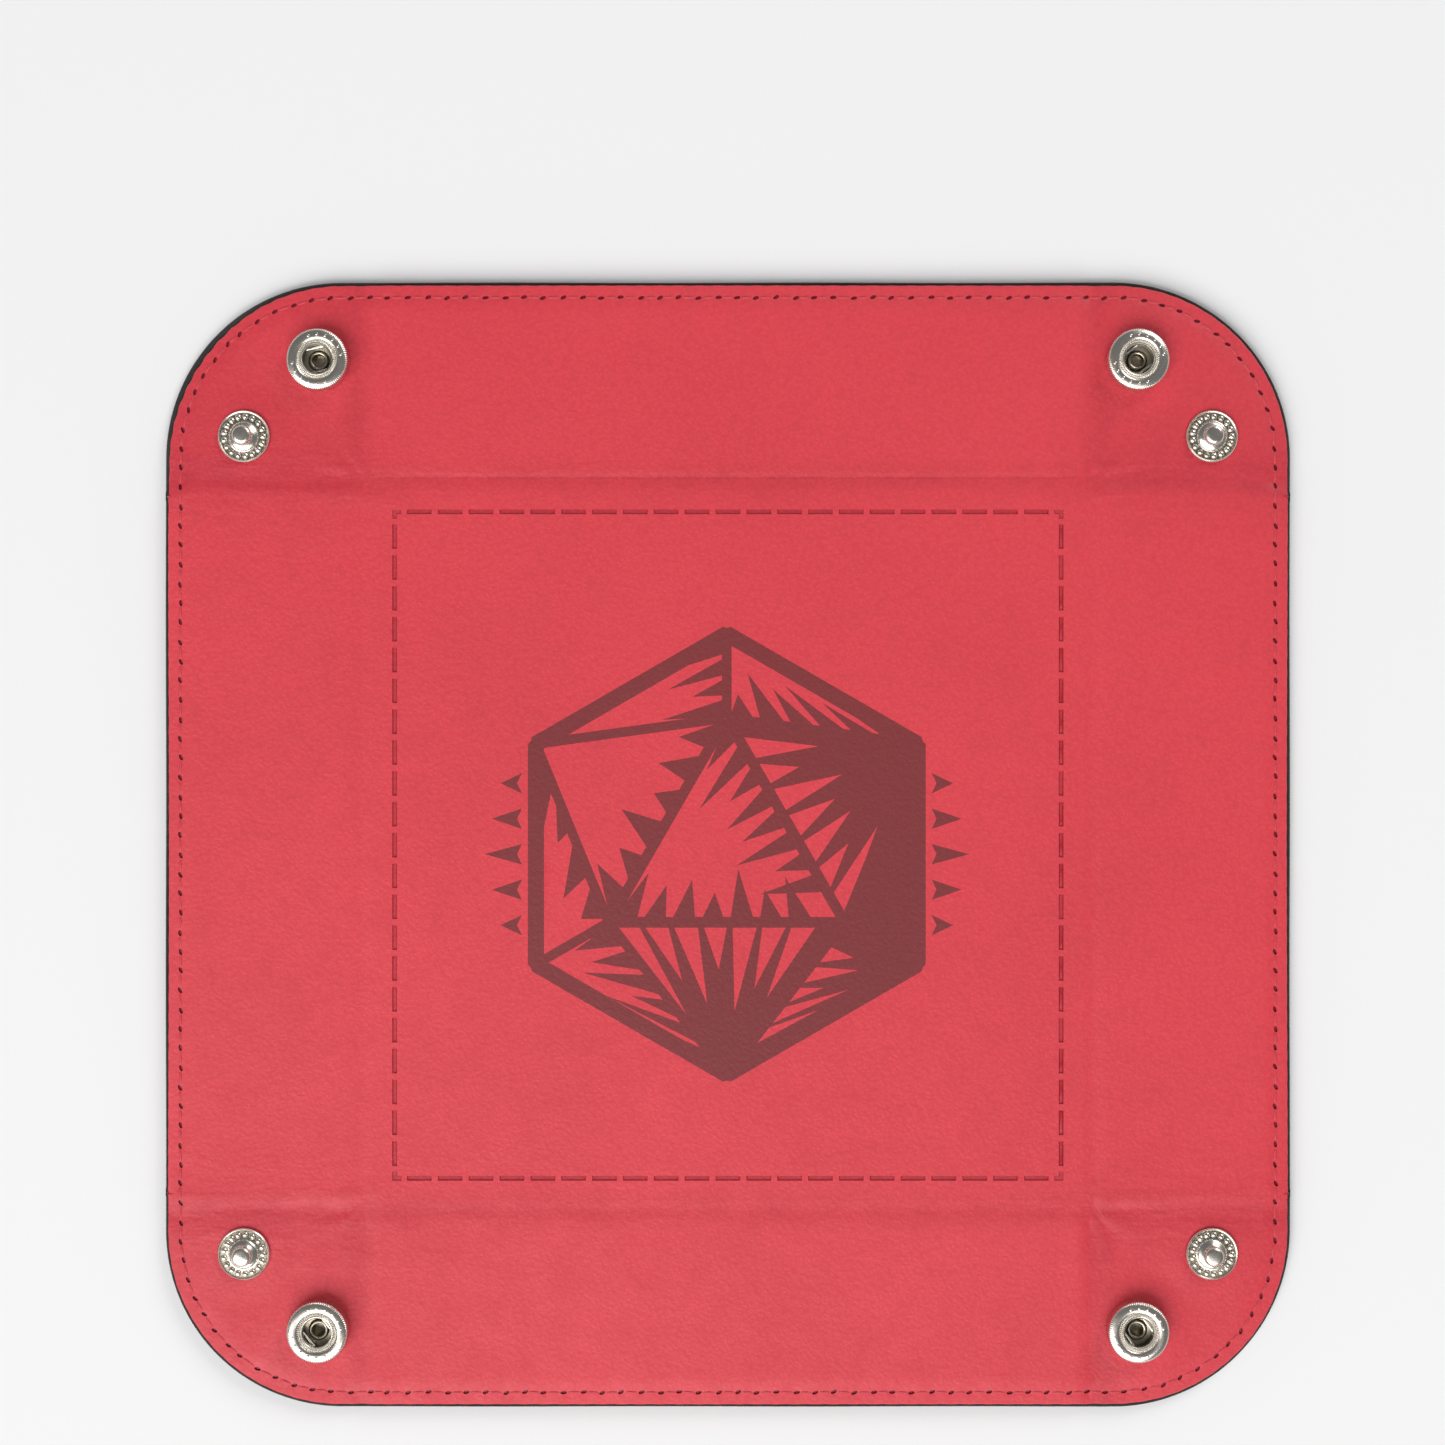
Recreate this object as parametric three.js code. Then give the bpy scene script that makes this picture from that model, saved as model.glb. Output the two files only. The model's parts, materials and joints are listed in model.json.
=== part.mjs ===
// Folding dice tray, lying flat. A sheet of imitation leather and a sheet of black velvet are sewn
// together round their edge, with stiff boards between them in the base and in the four walls.
// The four corners hold no board. A snap fastener pinches each one into an ear, a socket on one
// half of the corner and a stud on the other, and the pinched corners hold the walls upright.
//
// Millimetres, +Z up. The origin is the centre of the base's underside; +Y is the back of the tray
// and +X its right. Both sheets are cut into flat facets along the lines where they fold.

import * as THREE from 'three';

// The sheets, lying flat
const TRAY_WIDTH = 210;
const CORNER_RADIUS = 33;
const LEATHER_INSET = 0.5;        // velvet that shows beyond the leather's edge
const BASE_WIDTH = 136;           // between opposite fold lines

// The layers
const BACKING_THICKNESS = 0.8;
const BOARD_THICKNESS = 1.6;
const LEATHER_THICKNESS = 1.0;
const GLUE_GAP = 0.05;
const TOP = BACKING_THICKNESS + BOARD_THICKNESS + LEATHER_THICKNESS;

// The boards, which stop short of the folds and of the edge seam
const BASE_BOARD_WIDTH = 132;
const WALL_BOARD_LENGTH = 126;
const WALL_BOARD_FROM = 70;
const WALL_BOARD_TO = 100.5;

// The snap fasteners
const SOCKET_RADIUS = 5.75;
const SOCKET_HEIGHT = 3.4;
const STUD_FLANGE_RADIUS = 4.85;
const STUD_FLANGE_THICKNESS = 0.8;
const STUD_POST_HEIGHT = 2.5;
const STUD_HEAD_RADIUS = 1.85;
const CAP_RADIUS = 6.25;
const EYELET_RADIUS = 4.9;
const SHEET_HOLE_RADIUS = 1.8;
const SNAP_NEAR = 76;             // snap centre from the tray's middle, along the wall it folds with
const SNAP_FAR = 90;              // and across that wall
const SPRING_WIRE_RADIUS = 0.22;
const SPRING_LEG_OFFSET = 2.25;
const SPRING_LEG_REACH = 3.5;
const SPRING_HEIGHT = TOP + 1.75;

// A closed snap holds the two halves of a corner this far apart, leather to leather, so the
// creases beside the walls lie inside the fold lines by half the square's diagonal of that gap.
const EAR_GAP = SOCKET_HEIGHT + STUD_FLANGE_THICKNESS + 0.1;
const CREASE = BASE_WIDTH / 2 - EAR_GAP / Math.SQRT2;

// Clearances between facets, so that they fold freely
const FOLD_CLEARANCE = 0.3;
const CREASE_CLEARANCE = 0.79;
const WALL_BACKING_CLEARANCE = 2.2;   // the corners' edges swing past the ends of the walls' velvet
const EAR_TIP_CLEARANCE = 0.6;
const DIAGONAL_CLEARANCE = 1.5;

const ROUND_STEPS = 20;
const HOLE_STEPS = 16;
const ARC_STEPS = 8;

const leather = new THREE.MeshStandardMaterial({ color: 0xcf4450, roughness: 0.55 });
const velvet = new THREE.MeshStandardMaterial({ color: 0x1b1b1b, roughness: 0.95 });
const board = new THREE.MeshStandardMaterial({ color: 0x9a948a, roughness: 0.9 });
const nickel = new THREE.MeshStandardMaterial({ color: 0xd8d2cc, roughness: 0.25, metalness: 1 });
const springSteel = new THREE.MeshStandardMaterial({ color: 0xb5b3b0, roughness: 0.35, metalness: 1 });

// --- Geometry -----------------------------------------------------------------------------------

// A flat plate between two heights. The outline's points are [x, y] pairs.
function plateGeometry(outline, bottom, top, holeCentre) {
  const shape = new THREE.Shape(outline.map(([x, y]) => new THREE.Vector2(x, y)));
  if (holeCentre) {
    const hole = new THREE.Path();
    hole.absarc(holeCentre[0], holeCentre[1], SHEET_HOLE_RADIUS, 0, 2 * Math.PI, false);
    shape.holes.push(hole);
  }
  const options = { depth: top - bottom, bevelEnabled: false, curveSegments: HOLE_STEPS };
  return new THREE.ExtrudeGeometry(shape, options).translate(0, 0, bottom);
}

// A body of revolution about Z. The profile's points are [radius, height] pairs, anticlockwise.
function turnedGeometry(profile) {
  const points = profile.map(([radius, height]) => new THREE.Vector2(radius, height));
  return new THREE.LatheGeometry(points, ROUND_STEPS).rotateX(Math.PI / 2);
}

function rectangle(xLow, yLow, xHigh, yHigh) {
  return [[xLow, yLow], [xHigh, yLow], [xHigh, yHigh], [xLow, yHigh]];
}

// --- Sheets and boards --------------------------------------------------------------------------

const BASE_HALF = BASE_WIDTH / 2;

function baseOutline() {
  const half = BASE_HALF - FOLD_CLEARANCE;
  return rectangle(-half, -half, half, half);
}

// The back wall's outline. The other walls are this one turned about Z.
function wallOutline(inset, endClearance) {
  const halfLength = CREASE - endClearance;
  return rectangle(-halfLength, BASE_HALF + FOLD_CLEARANCE, halfLength, TRAY_WIDTH / 2 - inset);
}

// The half of the back right corner that folds with the back wall: it is bounded by its crease,
// the tray's rounded edge, and the corner's diagonal.
function socketHalfOutline(inset) {
  const left = CREASE + CREASE_CLEARANCE;
  const low = BASE_HALF + EAR_TIP_CLEARANCE;
  const edge = TRAY_WIDTH / 2 - inset;
  const centre = TRAY_WIDTH / 2 - CORNER_RADIUS;
  const radius = CORNER_RADIUS - inset;
  const diagonalShift = DIAGONAL_CLEARANCE * Math.SQRT2;

  const outline = [[left, low], [left, edge]];
  const endAngle = Math.PI / 4 + Math.asin(DIAGONAL_CLEARANCE / radius);
  for (let step = 0; step <= ARC_STEPS; step++) {
    const angle = Math.PI / 2 + (endAngle - Math.PI / 2) * (step / ARC_STEPS);
    outline.push([centre + radius * Math.cos(angle), centre + radius * Math.sin(angle)]);
  }
  outline.push([low - diagonalShift, low]);
  return outline;
}

const swapAxes = ([x, y]) => [y, x];
const mirrorTo = (corner) => ([x, y]) => [corner.x * x, corner.y * y];

// --- Snap fastener pieces, each about its own axis ------------------------------------------------

// The domed cap on the velvet side. Its hollow post comes up through both sheets and is rolled
// over the socket's floor.
function capGeometry() {
  const rim = 1.55;
  const rollLow = TOP + 0.35;
  const rollTop = TOP + 0.8;
  return turnedGeometry([
    [0, 0], [3.4, 0], [5.2, 0.35], [CAP_RADIUS, 1.0], [CAP_RADIUS - 0.15, rim],
    [1.6, rim], [1.6, rollLow], [1.9, rollLow], [1.9, rollTop - 0.15], [1.65, rollTop],
    [1.3, rollTop], [1.1, rollTop - 0.2], [1.1, 1.0], [0, 1.0],
  ]);
}

// The socket: a floor that the cap's post is rolled over, a wall, and a dished top with a collar
// round the opening. The hollow inside holds the spring.
function socketGeometry() {
  const bottom = TOP + GLUE_GAP;
  const floor = TOP + 0.3;
  const ceiling = TOP + 2.15;
  const high = TOP + SOCKET_HEIGHT;
  return turnedGeometry([
    [1.75, bottom], [SOCKET_RADIUS - 0.3, bottom], [SOCKET_RADIUS, bottom + 0.3],
    [SOCKET_RADIUS, high - 1.0], [SOCKET_RADIUS - 0.35, high - 0.55], [4.5, high - 0.6],
    [3.55, high - 0.45], [3.3, high], [2.85, high], [2.6, high - 0.3],
    [2.6, ceiling], [4.6, ceiling], [4.6, floor], [1.75, floor], [1.75, bottom],
  ]);
}

// The spring inside the socket: a wire hairpin whose two straight legs grip the stud's neck.
function springGeometry() {
  const bowRadius = Math.hypot(SPRING_LEG_REACH, SPRING_LEG_OFFSET);
  const bowAngle = Math.atan2(SPRING_LEG_OFFSET, SPRING_LEG_REACH);
  const bowSteps = 6;
  const points = [];
  for (const x of [-SPRING_LEG_REACH, -1.2, 1.2]) {
    points.push(new THREE.Vector3(x, -SPRING_LEG_OFFSET, 0));
  }
  for (let step = 0; step <= bowSteps; step++) {
    const angle = bowAngle * (2 * (step / bowSteps) - 1);
    points.push(new THREE.Vector3(bowRadius * Math.cos(angle), bowRadius * Math.sin(angle), 0));
  }
  for (const x of [1.2, -1.2, -SPRING_LEG_REACH]) {
    points.push(new THREE.Vector3(x, SPRING_LEG_OFFSET, 0));
  }

  const section = new THREE.Shape();
  section.absarc(0, 0, SPRING_WIRE_RADIUS, 0, 2 * Math.PI, false);
  const route = new THREE.CatmullRomCurve3(points);
  const options = { steps: 22, curveSegments: 6, bevelEnabled: false, extrudePath: route };
  return new THREE.ExtrudeGeometry(section, options);
}

// The stud: a rimmed flange and a waisted post with a rounded head, hollow underneath.
function studGeometry() {
  const bottom = TOP + GLUE_GAP;
  const flange = TOP + STUD_FLANGE_THICKNESS;
  const high = flange + STUD_POST_HEIGHT;
  return turnedGeometry([
    [1.6, bottom], [STUD_FLANGE_RADIUS, bottom], [STUD_FLANGE_RADIUS, flange],
    [4.4, flange], [4.2, flange - 0.25], [2.6, flange - 0.25], [1.75, flange + 0.25],
    [1.6, flange + 1.0], [STUD_HEAD_RADIUS, flange + 1.7], [1.65, high - 0.3], [1.15, high],
    [0, high], [0, high - 0.6], [1.6, high - 1.0], [1.6, bottom],
  ]);
}

// The eyelet on the velvet side, whose tube comes up through both sheets into the stud.
function eyeletGeometry() {
  const rim = 1.55;
  return turnedGeometry([
    [1.0, 0.8], [4.4, 0.8], [EYELET_RADIUS, 1.1], [EYELET_RADIUS, rim], [1.5, rim],
    [1.5, TOP + 2.0], [1.0, TOP + 2.0], [1.0, 0.8],
  ]);
}

// --- The assembly ---------------------------------------------------------------------------------

const tray = new THREE.Group();

function addPiece(name, geometry, material) {
  const mesh = new THREE.Mesh(geometry, material);
  mesh.name = name;
  tray.add(mesh);
  return mesh;
}

const BACKING_TOP = BACKING_THICKNESS;
const LEATHER_BOTTOM = TOP - LEATHER_THICKNESS;
const BOARD_BOTTOM = BACKING_TOP + GLUE_GAP;
const BOARD_TOP = LEATHER_BOTTOM - GLUE_GAP;

// The base: backing, board and leather
const boardHalf = BASE_BOARD_WIDTH / 2;
const baseBoardOutline = rectangle(-boardHalf, -boardHalf, boardHalf, boardHalf);
addPiece('base_backing', plateGeometry(baseOutline(), 0, BACKING_TOP), velvet);
addPiece('base_board', plateGeometry(baseBoardOutline, BOARD_BOTTOM, BOARD_TOP), board);
addPiece('base_leather', plateGeometry(baseOutline(), LEATHER_BOTTOM, TOP), leather);

// The walls: the same three layers, turned to each side. Each turn is a quarter circle, so the
// outline's points are turned exactly.
const walls = [
  { name: 'back', turn: ([x, y]) => [x, y] },
  { name: 'left', turn: ([x, y]) => [-y, x] },
  { name: 'front', turn: ([x, y]) => [-x, -y] },
  { name: 'right', turn: ([x, y]) => [y, -x] },
];
const halfBoardLength = WALL_BOARD_LENGTH / 2;
const wallBoardOutline = rectangle(-halfBoardLength, WALL_BOARD_FROM, halfBoardLength, WALL_BOARD_TO);
for (const { name, turn } of walls) {
  const backingOutline = wallOutline(0, WALL_BACKING_CLEARANCE).map(turn);
  const leatherOutline = wallOutline(LEATHER_INSET, FOLD_CLEARANCE).map(turn);
  addPiece(`wall_${name}_backing`, plateGeometry(backingOutline, 0, BACKING_TOP), velvet);
  addPiece(`wall_${name}_board`, plateGeometry(wallBoardOutline.map(turn), BOARD_BOTTOM, BOARD_TOP), board);
  addPiece(`wall_${name}_leather`, plateGeometry(leatherOutline, LEATHER_BOTTOM, TOP), leather);
}

// The corners: x and y are the corner's signs, and springTurn is how the socket was set.
const corners = [
  { name: 'back_right', x: 1, y: 1, springTurn: 34 },
  { name: 'back_left', x: -1, y: 1, springTurn: 12 },
  { name: 'front_left', x: -1, y: -1, springTurn: -50 },
  { name: 'front_right', x: 1, y: -1, springTurn: -53 },
];

// One half of a corner: two sheets with a hole for the snap. The backing lies against the leather
// here, because there is no board between them.
function addCornerHalf(name, corner, toHalf) {
  const place = (point) => mirrorTo(corner)(toHalf(point));
  const hole = place([SNAP_NEAR, SNAP_FAR]);
  const backingTop = LEATHER_BOTTOM - GLUE_GAP;
  const backingBottom = LEATHER_BOTTOM - BACKING_THICKNESS;
  const backing = socketHalfOutline(0).map(place);
  const top = socketHalfOutline(LEATHER_INSET).map(place);
  addPiece(`${name}_backing`, plateGeometry(backing, backingBottom, backingTop, hole), velvet);
  addPiece(`${name}_leather`, plateGeometry(top, LEATHER_BOTTOM, TOP, hole), leather);
}

for (const corner of corners) {
  addCornerHalf(`corner_${corner.name}_socket_half`, corner, (point) => point);
  addCornerHalf(`corner_${corner.name}_stud_half`, corner, swapAxes);

  const [socketX, socketY] = mirrorTo(corner)([SNAP_NEAR, SNAP_FAR]);
  addPiece(`snap_cap_${corner.name}`, capGeometry(), nickel).position.set(socketX, socketY, 0);
  addPiece(`snap_socket_${corner.name}`, socketGeometry(), nickel).position.set(socketX, socketY, 0);
  const spring = addPiece(`snap_spring_${corner.name}`, springGeometry(), springSteel);
  spring.position.set(socketX, socketY, SPRING_HEIGHT);
  spring.rotation.z = THREE.MathUtils.degToRad(corner.springTurn);

  const [studX, studY] = mirrorTo(corner)([SNAP_FAR, SNAP_NEAR]);
  addPiece(`snap_stud_${corner.name}`, studGeometry(), nickel).position.set(studX, studY, 0);
  addPiece(`snap_eyelet_${corner.name}`, eyeletGeometry(), nickel).position.set(studX, studY, 0);
}

export default tray;
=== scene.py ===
import json
import math
from math import cos, hypot, pi, radians, sin, sqrt

import bpy
import numpy as np
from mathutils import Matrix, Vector
from mathutils.geometry import delaunay_2d_cdt
from mathutils.kdtree import KDTree


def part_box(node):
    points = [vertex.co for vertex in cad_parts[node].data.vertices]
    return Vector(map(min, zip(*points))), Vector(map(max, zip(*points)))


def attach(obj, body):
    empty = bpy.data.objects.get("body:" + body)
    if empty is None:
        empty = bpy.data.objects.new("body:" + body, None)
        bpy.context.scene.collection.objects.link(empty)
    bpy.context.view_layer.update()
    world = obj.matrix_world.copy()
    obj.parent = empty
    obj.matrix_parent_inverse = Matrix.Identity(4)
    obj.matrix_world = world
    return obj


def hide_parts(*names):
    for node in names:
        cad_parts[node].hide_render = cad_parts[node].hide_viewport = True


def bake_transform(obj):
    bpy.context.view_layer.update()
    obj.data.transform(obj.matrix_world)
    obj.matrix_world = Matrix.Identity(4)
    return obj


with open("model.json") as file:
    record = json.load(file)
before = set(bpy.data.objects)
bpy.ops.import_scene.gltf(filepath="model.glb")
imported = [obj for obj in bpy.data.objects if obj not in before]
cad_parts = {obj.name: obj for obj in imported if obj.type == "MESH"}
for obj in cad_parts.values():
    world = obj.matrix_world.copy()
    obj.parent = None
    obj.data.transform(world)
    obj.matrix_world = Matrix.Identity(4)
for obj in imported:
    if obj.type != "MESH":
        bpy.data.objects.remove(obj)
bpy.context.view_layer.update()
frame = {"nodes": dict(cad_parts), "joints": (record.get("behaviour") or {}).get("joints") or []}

# The looks of a folding dice tray lying flat. Lengths here are in millimetres in the CAD's frame,
# and build_mesh() and at() turn them into metres. The leather and the velvet are each made in
# thirteen pieces that meet edge to edge at rest: the base, four pieces that span the folds, four
# that span the creases beside the corners, and four that span the corners' diagonals.

MM = 0.001
JOINTS = {joint["name"]: joint for joint in frame["joints"]}

# Driving sizes, from the frame except for the round of the corners
FOLD = JOINTS["fold_back"]["pos_m"][1] / MM
TOP = JOINTS["fold_back"]["pos_m"][2] / MM
CREASE = JOINTS["crease_back_right"]["pos_m"][0] / MM
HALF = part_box("wall_back_backing")[1].y / MM
CORNER_RADIUS = 33.0
STRAIGHT = HALF - CORNER_RADIUS
ARC = CORNER_RADIUS * pi / 2

# How far each bend reaches to either side of its line
FOLD_REACH = 2.0
CREASE_REACH = 2.5
PINCH_REACH = 4.0

# The sheets
LEATHER_THICKNESS = 0.9
VELVET_THICKNESS = 0.8
EDGE_ROUNDING = 0.2
RIM_SLOPE = 5.0             # the sheets come together over this distance from the edge
RIM_DROP = 0.5              # the leather goes down by this at the edge
RIM_RISE = 0.95             # and the velvet's underside up to this height
CORNER_RISE = 1.35          # height of the velvet's underside in the corners
FOLD_WIDTH = 1.5
LEATHER_MARGIN = 0.8        # velvet that shows beyond the leather
SEAM_FROM_EDGE = 3.1
STITCH_PITCH = 3.6
POST_HOLE = 1.7             # radius of the holes that the snaps' posts go through

# Beside an open crease, a sheet is cut back by this much for each millimetre below the hinge
CUT_BACK = math.tan(radians(JOINTS["crease_back_right"]["range_deg"][1] / 2))
VELVET_OFF_CREASE = 0.55
CUT_FADE = 3.0              # it keeps off less and is cut less within this distance of the edge

CORNERS = [
    ("back_right", 1, 1), ("back_left", -1, 1), ("front_left", -1, -1), ("front_right", 1, -1),
]


# --- Small helpers ---

def linear(red, green, blue):
    """A display colour, 0 to 255, as the shader's linear red, green, blue and alpha."""
    values = [channel / 255 for channel in (red, green, blue)]
    return [v / 12.92 if v <= 0.04045 else ((v + 0.055) / 1.055) ** 2.4 for v in values] + [1.0]


def ramp(value):
    """Smooth step from 0 to 1 as value goes from 0 to 1."""
    t = np.clip(value, 0.0, 1.0)
    return t * t * (3 - 2 * t)


def on_circle(centre, radius, angle):
    return centre[0] + radius * cos(angle), centre[1] + radius * sin(angle)


def left_of(ahead):
    """A direction turned a quarter to the left."""
    return Vector((-ahead.y, ahead.x))


def centre_of(node):
    low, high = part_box(node)
    return (low.x + high.x) / 2 / MM, (low.y + high.y) / 2 / MM


def at(x, y, z=TOP):
    """A place given in millimetres, in metres."""
    return (x * MM, y * MM, z * MM)


def add_object(name, data):
    made = bpy.data.objects.new(name, data)
    bpy.context.scene.collection.objects.link(made)
    return made


def build_mesh(name, points, faces, materials, slots=None, sharp=35):
    """A mesh object from points in millimetres. Its UV map holds each point's place at rest."""
    mesh = bpy.data.meshes.new(name)
    mesh.from_pydata([tuple(c * MM for c in p) for p in points], [], faces)
    for material in materials:
        mesh.materials.append(material)
    if slots is not None:
        mesh.polygons.foreach_set("material_index", slots)
    mesh.polygons.foreach_set("use_smooth", [True] * len(mesh.polygons))
    mesh.set_sharp_from_angle(angle=radians(sharp))
    corners = np.zeros(len(mesh.loops), np.int32)
    mesh.loops.foreach_get("vertex_index", corners)
    places = np.array([p[:2] for p in points], float)[corners] * MM
    mesh.uv_layers.new(name="Rest").data.foreach_set("uv", places.astype(np.float32).ravel())
    mesh.validate()
    return add_object(name, mesh)


# --- Materials ---

class Nodes:
    """A new material or world, with short calls to add nodes to it and join them."""

    def __init__(self, name, kind=bpy.data.materials, shader="Principled BSDF"):
        self.owner = kind.new(name)
        self.owner.use_nodes = True
        self.tree = self.owner.node_tree
        self.shader = self.tree.nodes[shader]

    def add(self, kind, **inputs):
        node = self.tree.nodes.new("ShaderNode" + kind)
        for key, value in inputs.items():
            self.put(node.inputs[key.replace("_", " ")], value)
        return node

    def put(self, socket, value):
        if isinstance(value, bpy.types.NodeSocket):
            self.tree.links.new(value, socket)
        else:
            socket.default_value = value

    def rest_place(self):
        node = self.tree.nodes.new("ShaderNodeUVMap")
        node.uv_map = "Rest"
        return node.outputs["UV"]

    def noise(self, place, scale, detail=2.0, roughness=0.5):
        node = self.add("TexNoise", Vector=place, Scale=scale, Detail=detail, Roughness=roughness)
        return node.outputs["Fac"]

    def math(self, operation, first, second=0.0):
        node = self.tree.nodes.new("ShaderNodeMath")
        node.operation = operation
        self.put(node.inputs[0], first)
        self.put(node.inputs[1], second)
        return node.outputs[0]

    def plus(self, first, second):
        return self.math("ADD", first, second)

    def times(self, first, second):
        return self.math("MULTIPLY", first, second)

    def from_line(self, value, line):
        """How far a place is from a line given in millimetres."""
        return self.math("ABSOLUTE", self.math("SUBTRACT", value, line * MM))

    def fade(self, distance, near, far, at_near, at_far):
        """One value at a near distance and another at a far one, both given in millimetres."""
        return self.fit(distance, near * MM, far * MM, at_near, at_far)

    def fit(self, value, low, high, to_low=0.0, to_high=1.0):
        return self.add("MapRange", Value=value, From_Min=low, From_Max=high, To_Min=to_low,
                        To_Max=to_high).outputs["Result"]

    def mix(self, share, first, second):
        """From the first display colour to the second."""
        node = self.tree.nodes.new("ShaderNodeMix")
        node.data_type = "RGBA"
        self.put(node.inputs["Factor"], share)
        self.put(node.inputs["A"], linear(*first))
        self.put(node.inputs["B"], linear(*second))
        return next(o for o in node.outputs if o.type == "RGBA")

    def surface(self, **inputs):
        for key, value in inputs.items():
            self.put(self.shader.inputs[key.replace("_", " ")], value)

    def blotches(self, noise, first, second, rough_low, rough_high, low=0.3):
        """A colour and a roughness that vary together with a noise."""
        self.surface(Base_Color=self.mix(self.fit(noise, low, 0.7), first, second),
                     Roughness=self.fit(noise, 0.3, 0.7, rough_low, rough_high))

    def bump(self, height, strength, distance):
        """Bumps whose full height is a distance in millimetres."""
        node = self.add("Bump", Height=height, Strength=strength, Distance=distance * MM)
        self.tree.links.new(node.outputs["Normal"], self.shader.inputs["Normal"])


def leather_material(name, colour, dark_tone_and_shade, grain=1.0):
    """Fine-grained imitation leather. The second colour is its grain's, and painted shade in folds and
    corners.
    """
    nodes = Nodes(name)
    place = nodes.rest_place()
    cells = nodes.add("TexVoronoi", Vector=place, Scale=1500.0)
    cells.feature = "SMOOTH_F1"
    fine = nodes.noise(place, 2600.0, detail=3.0)
    broad = nodes.noise(place, 22.0, detail=3.0)
    patches = nodes.noise(place, 180.0, detail=4.0, roughness=0.6)
    grains = nodes.plus(nodes.times(cells.outputs["Distance"], 0.6), nodes.times(fine, 0.5))

    # Painted shade: dark lines along the folds, sharp on the back one, and beside and across the corners,
    # which darken outwards
    axes = nodes.add("SeparateXYZ", Vector=place)
    across = nodes.math("ABSOLUTE", axes.outputs["X"])
    along = nodes.math("ABSOLUTE", axes.outputs["Y"])
    in_corner = nodes.fade(along, FOLD - 1, FOLD + 3, 0.0, 1.0)
    back_fold_shade = nodes.times(nodes.fade(nodes.from_line(axes.outputs["Y"], FOLD + 0.3), 0.0, 0.5, 0.42, 0.0),
                            nodes.fade(across, FOLD - 4, FOLD, 1.0, 0.0))
    fold_line = nodes.from_line(along, FOLD)
    fold_shade = nodes.fade(fold_line, 0.0, 4.5, 0.16, 0.0)
    corner_shade = nodes.times(nodes.fade(nodes.from_line(across, FOLD + 1), 0.0, 4, 0.16, 0.0), in_corner)
    outer = nodes.times(nodes.fade(across, FOLD - 3, FOLD + 3, 0.0, 0.1), in_corner)
    lines = nodes.math("MAXIMUM", nodes.math("MAXIMUM", fold_shade, corner_shade), back_fold_shade)
    painted_shade = nodes.plus(nodes.times(lines, nodes.fit(patches, 0.3, 0.7, 0.7, 1.2)), outer)

    # Wrinkles across the folds, mostly near the corners
    wavy = nodes.noise(nodes.add("Mapping", Vector=place, Scale=(0.2, 1.0, 1.0)).outputs["Vector"], 380.0)
    near_fold = nodes.times(nodes.fade(fold_line, 2, 14, 1.0, 0.0),
                            nodes.fade(across, FOLD - 12, FOLD + 4, 0.15, 1.0))
    wrinkles = nodes.times(wavy, near_fold)

    speckle = nodes.fit(nodes.plus(grains, nodes.times(patches, 0.5)), 0.4, 1.0, 0.03, 0.33)
    cloud = nodes.fit(broad, 0.3, 0.7, 0.0, 0.14)
    # The second colour's share: grain, random clouds and wrinkles, and the painted shade along the folds
    # and in the corners
    share = nodes.plus(nodes.plus(speckle, cloud), nodes.plus(painted_shade, nodes.times(wrinkles, 0.16)))
    nodes.surface(Base_Color=nodes.mix(share, colour, dark_tone_and_shade), Specular_IOR_Level=0.5,
                  Roughness=nodes.fit(patches, 0.3, 0.7, 0.48, 0.6))
    height = nodes.plus(nodes.plus(grains, nodes.times(patches, 0.4)), nodes.times(wrinkles, 2.4))
    nodes.bump(height, 0.8 * grain, 0.12)
    return nodes.owner


def velvet_material():
    nodes = Nodes("black_velvet")
    place = nodes.rest_place()
    pile = nodes.noise(place, 3200.0, detail=3.0)
    brushed = nodes.noise(place, 60.0, detail=4.0, roughness=0.65)
    shade = nodes.fit(nodes.plus(nodes.times(pile, 0.6), nodes.times(brushed, 0.5)), 0.35, 0.75)
    nodes.surface(Base_Color=nodes.mix(shade, (34, 34, 33), (70, 69, 66)),
                  Roughness=nodes.fit(pile, 0.3, 0.7, 0.82, 0.95), Specular_IOR_Level=0.2,
                  Sheen_Weight=0.25, Sheen_Roughness=0.4)
    nodes.bump(pile, 0.6, 0.2)
    return nodes.owner


def metal_material(name, colour, worn, rough_low, rough_high):
    nodes = Nodes(name)
    place = nodes.add("TexCoord").outputs["Object"]
    haze = nodes.noise(place, 420.0, detail=4.0, roughness=0.6)
    nodes.blotches(haze, colour, worn, rough_low, rough_high, 0.35)
    nodes.surface(Metallic=1.0)
    nodes.bump(nodes.noise(place, 3000.0), 0.12, 0.05)
    return nodes.owner


def board_material():
    nodes = Nodes("board")
    fibres = nodes.noise(nodes.add("TexCoord").outputs["Object"], 900.0, detail=5.0, roughness=0.7)
    nodes.blotches(fibres, (150, 141, 128), (120, 112, 101), 0.85, 0.95)
    nodes.bump(fibres, 0.3, 0.1)
    return nodes.owner


def thread_material():
    nodes = Nodes("thread")
    twist = nodes.noise(nodes.rest_place(), 4000.0)
    nodes.blotches(twist, (214, 74, 82), (190, 48, 60), 0.5, 0.7)
    nodes.bump(twist, 0.4, 0.08)
    return nodes.owner


LEATHER = leather_material("red_leather", (227, 65, 75), (170, 26, 46))
DEBOSSED = leather_material("red_leather_debossed", (196, 52, 64), (148, 24, 40))
PRINTED = leather_material("red_leather_printed", (130, 42, 45), (106, 32, 36), grain=0.8)
# Leather darkened with painted shade, for the insides of the stitch holes
HOLE_SHADE_LEATHER = leather_material("red_leather_pierced", (150, 34, 50), (96, 18, 32))
VELVET = velvet_material()
NICKEL = metal_material("nickel", (230, 224, 214), (212, 203, 190), 0.2, 0.32)
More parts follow.
